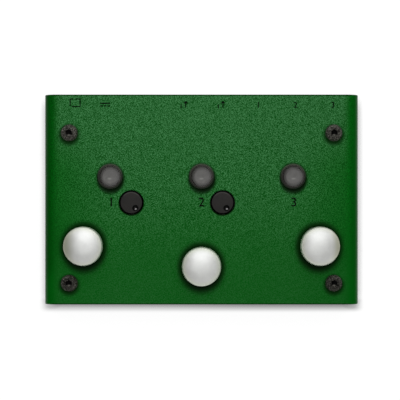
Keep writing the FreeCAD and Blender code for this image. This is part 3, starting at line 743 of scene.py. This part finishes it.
def turned(corners, steps=72, crown=None):
    """A piece turned about the upright axis from corners (out, up) or (out, up, rounding).

    A crown is (top, arcs): the side view then starts at that height on the axis and follows each
    arc (centre out, centre up, degrees) down to the first corner.
    """
    bm = bmesh.new()
    points = [bm.verts.new(Vector((out, 0, up)) * MM) for out, up, *rounding in corners]
    if crown:
        top, arcs = crown
        last = bm.verts.new((0, 0, top * MM))
        for out, up, degrees in arcs:
            last = swept(bm, [last], (out, 0, up), (0, 1, 0), math.radians(degrees), 14)[0]
        for point in points:
            bm.edges.new((last, point))
            last = point
    else:
        bm.faces.new(points)
        for point, (out, up, *rounding) in zip(points, corners):
            if rounding:
                rounded(bm, [point], rounding[0], 5)
        bmesh.ops.delete(bm, geom=list(bm.faces), context="FACES_ONLY")
    on_axis = [edge for edge in bm.edges if all(abs(point.co.x) < 1e-7 for point in edge.verts)]
    if on_axis:
        bmesh.ops.delete(bm, geom=on_axis, context="EDGES")
    swept(bm, list(bm.verts) + list(bm.edges), (0, 0, 0), (0, 0, 1), FULL_TURN, steps, merge=True)
    merge_doubles(bm)
    return bm


def repeated(single, places):
    """One mesh set at every place (x, y)."""
    whole = bmesh.new()
    mesh = as_mesh("template", single)
    for x, y in places:
        before = len(whole.verts)
        whole.from_mesh(mesh)
        whole.verts.ensure_lookup_table()
        moved(whole, (x, y, 0), whole.verts[before:])
    bpy.data.meshes.remove(mesh)
    return whole


def loop_points(edges):
    """The points of some edges, each once."""
    return list(dict.fromkeys(point for edge in edges for point in edge.verts))


def circle(bm, x, y, z, radius, segments=72):
    """A round edge loop that lies flat."""
    made = bmesh.ops.create_circle(bm, cap_ends=False, radius=radius * MM, segments=segments,
                                   matrix=Matrix.Translation(Vector((x, y, z)) * MM))
    return list(dict.fromkeys(edge for point in made["verts"] for edge in point.link_edges))


def drawn_out(bm, edges, drop=0.0, scale=1.0, centre=(0, 0)):
    """Extrudes edges, then lowers the new ones and scales them about an upright line."""
    made = bmesh.ops.extrude_edge_only(bm, edges=edges)["geom"]
    points = [item for item in made if isinstance(item, bmesh.types.BMVert)]
    if scale != 1.0:
        bmesh.ops.scale(bm, vec=(scale, scale, 1.0), verts=points,
                        space=Matrix.Translation(Vector((*centre, 0)) * -MM))
    moved(bm, (0, 0, -drop), points)
    return [item for item in made if isinstance(item, bmesh.types.BMEdge)
            and all(point in points for point in item.verts)]


def drawn_through(bm, edges, size, steps, centre=(0, 0)):
    """Extrudes an edge loop of some size to each (size, depth below its start) in turn."""
    depth = 0.0
    for next_size, next_depth in steps:
        edges = drawn_out(bm, edges, next_depth - depth, next_size / size, centre)
        size, depth = next_size, next_depth
    return edges


# Box

def make_cover_shell():
    """The folded cover, with the coat's rounded edges."""
    bm = bmesh.new()
    corners = [bm.verts.new(Vector((x, y, panel_top)) * MM) for x, y in (
        (-bend_start, -half_depth), (bend_start, -half_depth),
        (bend_start, half_depth), (-bend_start, half_depth))]
    front, right, back, left = [bm.edges.new((corners[i], corners[(i + 1) % 4])) for i in range(4)]
    margin = 0.9
    rings = [(x, y, radius, circle(bm, x, y, panel_top, radius + margin))
             for places, radius in panel_holes for x, y in places]
    outline = [front, right, back, left] + [edge for ring in rings for edge in ring[3]]
    bmesh.ops.triangle_fill(bm, use_beauty=True, use_dissolve=False, edges=outline)
    for x, y, radius, edges in rings:
        drawn_through(bm, edges, radius + margin, [(radius, 0.0)], (x, y))
    bend_axis = panel_top - cover_bend
    for edge, side in ((right, 1), (left, -1)):
        bent = swept(bm, [edge] + list(edge.verts), (side * bend_start, 0, bend_axis), (0, 1, 0),
                     side * math.pi / 2, 10)
        bent = [item for item in bent if isinstance(item, bmesh.types.BMEdge)]
        foot = drawn_out(bm, bent, bend_axis - cover_foot)
        rounded(bm, loop_points(foot), cover_foot_round, 6)
    bmesh.ops.recalc_face_normals(bm, faces=bm.faces)
    top = max(bm.faces, key=lambda face: face.calc_center_median().z)
    if top.normal.z < 0:
        bmesh.ops.reverse_faces(bm, faces=bm.faces)
    shell = hang("cover_shell", bm, green_coat, "housing", "cover")
    sheet = shell.modifiers.new("sheet", "SOLIDIFY")
    sheet.thickness = cover_sheet * MM
    sheet.offset = -1
    sheet.use_even_offset = True
    soften(shell, 0.35, 3, 50.0)


def make_tray_shell():
    """The folded tray: its node's own shape, with its sharp edges broken."""
    bm = bmesh.new()
    bm.from_mesh(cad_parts["base_tray"].data)
    merge_doubles(bm, 0.002)
    bmesh.ops.dissolve_limit(bm, angle_limit=math.radians(0.6), verts=list(bm.verts),
                             edges=list(bm.edges), use_dissolve_boundaries=False)
    tray = hang_closed("tray_shell", bm, black_coat, "housing",
                       "base_tray", 40.0)
    soften(tray, 0.2, 2, 40.0)


make_cover_shell()
make_tray_shell()


# Foot buttons

def make_foot_cap(side, x, y):
    """A domed cap whose crown runs smoothly into its side, with its hollow and its grooved stem."""
    cap_top = 43.0
    crown_ball = 14.7
    shoulder_centre = (8.062, 37.908)  # on the crown's last radius, so that the arcs meet smoothly
    rim = [(10.22, 35.25), (10.14, 35.06), (9.97, 35.0)]
    hollow = [(7.55, 35.0), (7.4, 35.15), (7.4, 39.5), (4.0, 39.5)]
    groove = [(4.0, 21.75), (3.55, 21.75), (3.55, 20.85), (4.0, 20.85)]
    stem_foot = [(4.0, 18.8), (3.7, 18.5), (0.0, 18.5)]
    cap = turned(rim + hollow + groove + stem_foot, 96,
                 (cap_top, [(0.0, cap_top - crown_ball, 40.0), (*shoulder_centre, 50.0)]))
    moved(cap, (x, y, 0))
    hang_closed(side + "_foot_cap", cap, satin_nickel,
                side + "_foot_switch", side + "_foot_button")


def make_coil(side, x, y):
    """The return spring, an open coil at its rest length, with a mesh of its own."""
    bm = bmesh.new()
    wire_radius = 0.45
    coil_radius = 5.6
    bush_top = 33.0
    spring_top = 39.42
    turns = 3.0
    steps = 132
    wire_start = Vector((coil_radius, 0, bush_top + wire_radius)) * MM
    bmesh.ops.create_circle(
        bm, cap_ends=True, radius=wire_radius * MM, segments=12,
        matrix=Matrix.Translation(wire_start) @ Matrix.Rotation(math.pi / 2, 4, "X"))
    swept(bm, list(bm.faces) + list(bm.verts) + list(bm.edges), (0, 0, 0), (0, 0, 1),
          turns * FULL_TURN, steps, spring_top - bush_top - 2 * wire_radius)
    moved(bm, (x, y, 0))
    coil = hang_closed(side + "_coil", bm, spring_steel, "housing",
                       side + "_return_spring", 60.0)
    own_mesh(coil)


for side, (x, y) in button_places.items():
    make_foot_cap(side, x, y)
    make_coil(side, x, y)


# Lamps

def make_lens(side, x, y):
    """The lamp's lens: a low crown with a soft shoulder, and a flange below the panel."""
    lens_top = 35.75
    crown_ball = 33.75
    shoulder = [(3.8, 35.46), (4.15, 35.26), (4.5, 34.96), (4.8, 34.6), (5.05, 34.15),
                (5.2, 33.7), (5.25, 33.3)]
    flange = [(5.25, 27.0), (5.75, 27.0), (5.75, 26.0), (0.0, 26.0)]
    lens = turned(shoulder + flange, 72, (lens_top, [(0.0, lens_top - crown_ball, 5.9)]))
    moved(lens, (x, y, 0))
    hang_closed(side + "_lens", lens, lens_grey, "housing", side + "_lamp", 50.0)


def make_bezel_rings():
    """The three rings round the lamps, with a rounded rim."""
    ring = turned([
        (5.45, 27.1), (6.0, 27.1), (6.0, 32.0), (6.7, 32.0, 0.1), (6.7, 33.2, 0.9),
        (5.9, 34.0, 0.5), (5.45, 33.85, 0.1), (5.45, 33.2),
    ])
    hang_closed("bezel_rings", repeated(ring, lamp_places.values()), bezel_plastic,
                "housing", "lamp_bezels", 50.0)


for side, (x, y) in lamp_places.items():
    make_lens(side, x, y)
make_bezel_rings()


# Gain knobs

def make_knob(which, x, y):
    """A flush knob with a rounded rim, a round dimple in its face and a bore for its shaft."""
    bm = bmesh.new()
    knob_top = 31.8
    face_radius = 5.45
    dimple_radius = 1.62
    rim = circle(bm, 0, 0, knob_top, face_radius, 96)
    dimple = circle(bm, *dimple_place, knob_top, dimple_radius, 40)
    bmesh.ops.triangle_fill(bm, use_beauty=True, use_dissolve=False, edges=rim + dimple)
    bore = drawn_through(bm, rim, face_radius, [
        (5.62, 0.05), (5.74, 0.17), (5.8, 0.35), (5.8, 10.0), (3.02, 10.0), (3.02, 4.0)])
    bmesh.ops.edgeloop_fill(bm, edges=bore)
    bowl = drawn_through(bm, dimple, dimple_radius, [
        (1.55, 0.06), (1.38, 0.42), (1.12, 0.8), (0.75, 1.1), (0.35, 1.26)], dimple_place)
    bmesh.ops.edgeloop_fill(bm, edges=bowl)
    moved(bm, (x, y, 0))
    hang_closed(which + "_knob", bm, black_plastic, which + "_gain",
                which + "_gain_knob")


for which, (x, y) in gain_places.items():
    make_knob(which, x, y)


# Screws

def make_button_screws():
    """The four cover screws: rounded heads with hexagon sockets."""
    bm = bmesh.new()
    head_top = panel_top + 2.75
    face_radius = 2.3
    socket_flats = 3.3
    rim = circle(bm, 0, 0, head_top, face_radius, 60)
    socket = circle(bm, 0, 0, head_top, socket_flats / math.sqrt(3), 6)
    bmesh.ops.triangle_fill(bm, use_beauty=True, use_dissolve=False, edges=rim + socket)
    shank = drawn_through(bm, rim, face_radius, [
        (2.7, 0.07), (3.25, 0.33), (3.73, 0.77), (4.12, 1.37), (4.33, 2.0), (4.4, 2.45),
        (4.4, 2.67), (4.33, 2.75), (2.45, 2.75), (2.45, 8.35), (2.0, 8.75)])
    bmesh.ops.edgeloop_fill(bm, edges=shank)
    bottom = drawn_through(bm, socket, socket_flats, [(3.0, 0.18), (3.0, 1.68), (0.9, 2.03)])
    bmesh.ops.edgeloop_fill(bm, edges=bottom)
    hang_closed("button_screws", repeated(bm, screw_places), black_oxide,
                "housing", "cover_screws", 28.0)


make_button_screws()


# Back wall and underside

def make_hexagon_nuts():
    """The sockets' nuts, with turned chamfers and broken bores."""
    bm = bmesh.new()
    half_flats = 7.0
    bore_radius = 5.95
    chamfer = 0.35
    height = 2.0
    face = circle(bm, 0, 0, height, half_flats - 0.1)
    bore = circle(bm, 0, 0, height, bore_radius + chamfer)
    bmesh.ops.bridge_loops(bm, edges=face + bore)
    sides = drawn_out(bm, face)
    for point in loop_points(sides):
        turn = math.atan2(point.co.y, point.co.x)
        out = half_flats / math.cos(turn % (math.pi / 3) - math.pi / 6)
        turned_off = 0.1 + (out - half_flats) * 0.5  # most at the corners
        point.co = Vector((out * math.cos(turn), out * math.sin(turn), height - turned_off)) * MM
    foot = drawn_out(bm, sides)
    for point in loop_points(foot):
        point.co.z = 0
    throat = drawn_through(bm, bore, bore_radius + chamfer, [
        (bore_radius, chamfer), (bore_radius, height)])
    bmesh.ops.bridge_loops(bm, edges=foot + throat)
    bmesh.ops.rotate(bm, cent=(0, 0, 0), matrix=Matrix.Rotation(-math.pi / 2, 3, "X"),
                     verts=bm.verts)
    washer_thickness = 0.5
    moved(bm, (0, back_wall + washer_thickness, jack_axis))
    hang_closed("socket_nuts", repeated(bm, [(x, 0) for x in jack_places]), machined_nickel,
                "housing", "jack_nuts", 25.0)


def make_foot_pads():
    """Rubber feet with a dished middle."""
    foot = turned([
        (0.0, 0.7), (2.2, 0.7), (2.7, 0.02, 0.2), (5.1, 0.0, 0.3), (5.65, 0.55, 0.3),
        (6.0, 2.5), (0.0, 2.5),
    ], 48)
    places = [(x, y) for x in (-68.5, 68.5) for y in (-41.5, 41.5)]
    hang_closed("foot_pads", repeated(foot, places), black_rubber,
                "housing", "rubber_feet", 50.0)


make_hexagon_nuts()
make_foot_pads()


# Printed marks

ink_thickness = 0.03
ink_level = panel_top + ink_thickness / 2
digit_share = 0.72  # how much of a text's size is a digit's height


def hang_print(name, bm):
    hang_closed(name, bm, ink_black)


def printed_number(name, number, x, y, height, boldness):
    """A number printed flat on the panel, centred on x, y."""
    curve = bpy.data.curves.new(name, "FONT")
    curve.body = str(number)
    curve.align_x = "CENTER"
    curve.align_y = "CENTER"
    curve.size = height * MM / digit_share
    curve.extrude = ink_thickness / 2 * MM
    curve.offset = boldness * MM
    text = in_scene(name + "_text", curve)
    bpy.context.view_layer.update()
    mesh = bpy.data.meshes.new_from_object(
        text.evaluated_get(bpy.context.evaluated_depsgraph_get()))
    bpy.data.objects.remove(text)
    bm = bmesh.new()
    bm.from_mesh(mesh)
    bpy.data.meshes.remove(mesh)
    moved(bm, (x, y, ink_level))
    hang_print(name, bm)


def printed_strokes(name, strokes, width):
    """Straight strokes printed on the panel, each (x, y, x, y), with square ends."""
    bm = bmesh.new()
    for x0, y0, x1, y1 in strokes:
        points = bmesh.ops.create_cube(bm, size=MM)["verts"]
        bmesh.ops.scale(bm, vec=(math.hypot(x1 - x0, y1 - y0), width, ink_thickness),
                        verts=points)
        bmesh.ops.rotate(bm, cent=(0, 0, 0), verts=points,
                         matrix=Matrix.Rotation(math.atan2(y1 - y0, x1 - x0), 3, "Z"))
        moved(bm, ((x0 + x1) / 2, (y0 + y1) / 2, ink_level), points)
    hang_print(name, bm)


def make_marks():
    """Numbers by lamps and inputs, arrows by outputs, and the inlet's and the switch's marks."""
    for i, x in enumerate((-47.3, 0.0, 48.4), 1):
        printed_number("channel_number_%d" % i, i, x, -1.6, 4.8, 0.06)
    row = 49.4
    for i, x in enumerate(jack_places[2:], 1):
        printed_number("input_number_%d" % i, i, x, row, 3.1, 0.05)
    for i, x in enumerate(jack_places[:2], 1):
        arrow = x + 0.95
        printed_strokes("output_arrow_%d" % i, [
            (arrow, row - 1.3, arrow, row + 1.9),
            (arrow, row + 2.0, x, row + 0.9),
            (arrow, row + 2.0, x + 1.9, row + 0.9),
            (x - 1.5, row - 1.7, x - 1.5, row + 0.5),
        ], 0.58)
    dashes = [(-2.6, -1.3), (-0.65, 0.65), (1.3, 2.6)]
    printed_strokes("inlet_mark", [(inlet_x - 2.6, row + 1.0, inlet_x + 2.6, row + 1.0)] + [
        (inlet_x + start, row - 0.4, inlet_x + end, row - 0.4) for start, end in dashes], 0.6)
    left, right = slide_x - 2.6, slide_x + 2.6
    low, high = row - 0.75, row + 3.25
    printed_strokes("switch_mark", [
        (left, high, slide_x - 0.9, high),
        (slide_x - 0.1, high, right, high),
        (left + 0.8, low, right, low),
        (left, low + 0.3, left, high),
        (right, low, right, high),
    ], 0.55)


make_marks()


# Studio. Lights are placed in metres.

def make_floor():
    """A plain pale floor that keeps the box's soft shadow, and is clear from below."""
    bm = bmesh.new()
    bmesh.ops.create_grid(bm, x_segments=1, y_segments=1, size=2.5)
    floor = in_scene("floor", as_mesh("floor", bm))
    pale = Finish("floor_pale", Roughness=0.9, Specular_IOR_Level=0.0, Emission_Strength=1.0)
    x, y = pale.axis("X"), pale.axis("Y")
    seen = pale.seen()
    # The shadow leans, so that it is deepest in front of the box.
    leaning = pale.node("ShaderNodeCombineXYZ", None, {"X": -0.08, "Y": 0.55, "Z": 0.83})
    open_sky = pale.node("ShaderNodeAmbientOcclusion", {"samples": 16}, {
        "Distance": 6.9 * MM, "Normal": leaning}, "AO")
    # A painted band of shadow lies just in front of the box.
    ahead = (pale.spread(y, -62.3, -58.7, 0.0, 0.47) * pale.spread(x, -35.0, 35.0, 0.9, 1.1)
             * pale.spread(y, -56.0, -53.0, 1.0, 0.0) * pale.spread(abs(x), 83.0, 89.8, 1.0, 0.0))
    shade = open_sky ** 3.0 * (1 - ahead)
    pale.colour(pale.blend(seen, (0.36, 0.36, 0.36, 1), pale.grey(shade * 0.2)))
    pale.feed(pale.shader.inputs["Emission Color"], pale.grey(seen * shade * 0.9))
    # The floor also lets light through under the box, so that the underside can be seen.
    from_below = pale.node("ShaderNodeNewGeometry", output="Backfacing")
    under_box = (abs(x) < 79.0) * (abs(y) < 50.0) * (1 - seen)
    clear = pale.node("ShaderNodeBsdfTransparent", None, {"Color": (1, 1, 1, 1)})
    pale.mix_in(from_below.most(under_box), clear)
    floor.data.materials.append(pale.material)


def make_softbox(name, place, size, radiance, aim=(0, 0, 0.03)):
    """A rectangular light that faces the box. Radiance is how bright its face is."""
    light = bpy.data.lights.new(name, "AREA")
    light.shape = "RECTANGLE"
    light.size, light.size_y = size
    light.energy = radiance * math.pi * size[0] * size[1]
    lamp = in_scene(name, light)
    lamp.location = place
    lamp.rotation_mode = "QUATERNION"
    lamp.rotation_quaternion = (Vector(place) - Vector(aim)).to_track_quat("Z", "Y")
    lamp.visible_camera = False


def make_world():
    """Pale surroundings: white to the camera, light grey in mirrors, brightest from overhead."""
    world = bpy.data.worlds.new("surroundings")
    world.use_nodes = True
    bpy.context.scene.world = world
    sky = Nodes(world.node_tree, "Background", "Generated")
    right, back, up = sky.axis("X"), sky.axis("Y"), sky.axis("Z")
    sky.feed(sky.shader.inputs["Color"], (1, 1, 1, 1))
    sky.feed(sky.shader.inputs["Strength"],
             sky.spread(up, 0.4, 0.98, 0.16, 1.05) * sky.spread(right, -0.7, 0.15, 0.3, 1.0)
             + sky.spread(up, -0.3, -0.1, 0.8, 0.0))
    walls = (0.37, 0.365, 0.345, 1)
    for share, colour in ((sky.spread(right, -0.9, -0.1), (0.58, 0.58, 0.565, 1)),
                          (sky.spread(right, 0.1, 0.9), (0.54, 0.54, 0.52, 1)),
                          (sky.spread(back, 0.3, 0.9), (0.75, 0.75, 0.74, 1))):
        walls = sky.blend(share, walls, colour)
    mirrored = (1 - sky.ray("Camera")) * sky.spread(up, 0.03, 0.1)
    around = sky.blend(mirrored, (1, 1, 1, 1), walls)
    shown = sky.node("ShaderNodeBackground", None, {"Color": around, "Strength": 1.0})
    sky.mix_in(sky.seen(), shown)


def make_camera():
    """Straight above the box, where the photograph was taken from."""
    data = bpy.data.cameras.new("camera")
    data.lens = 120
    data.sensor_width = 36
    camera = in_scene("camera", data)
    camera.location = Vector((-0.79, -0.26, 730.4)) * MM
    bpy.context.scene.camera = camera
    bpy.context.scene.view_settings.view_transform = "Standard"


make_floor()
make_softbox("overhead_softbox", (-0.04, 0.08, 0.25), (0.34, 0.4), 0.5, (-0.04, 0.11, 0))
make_softbox("back_softbox", (0.05, 0.5, 0.75), (1.1, 0.6), 0.52)
make_softbox("low_back_strip", (-0.02, 0.34, 0.24), (0.6, 0.16), 0.8)
make_world()
make_camera()
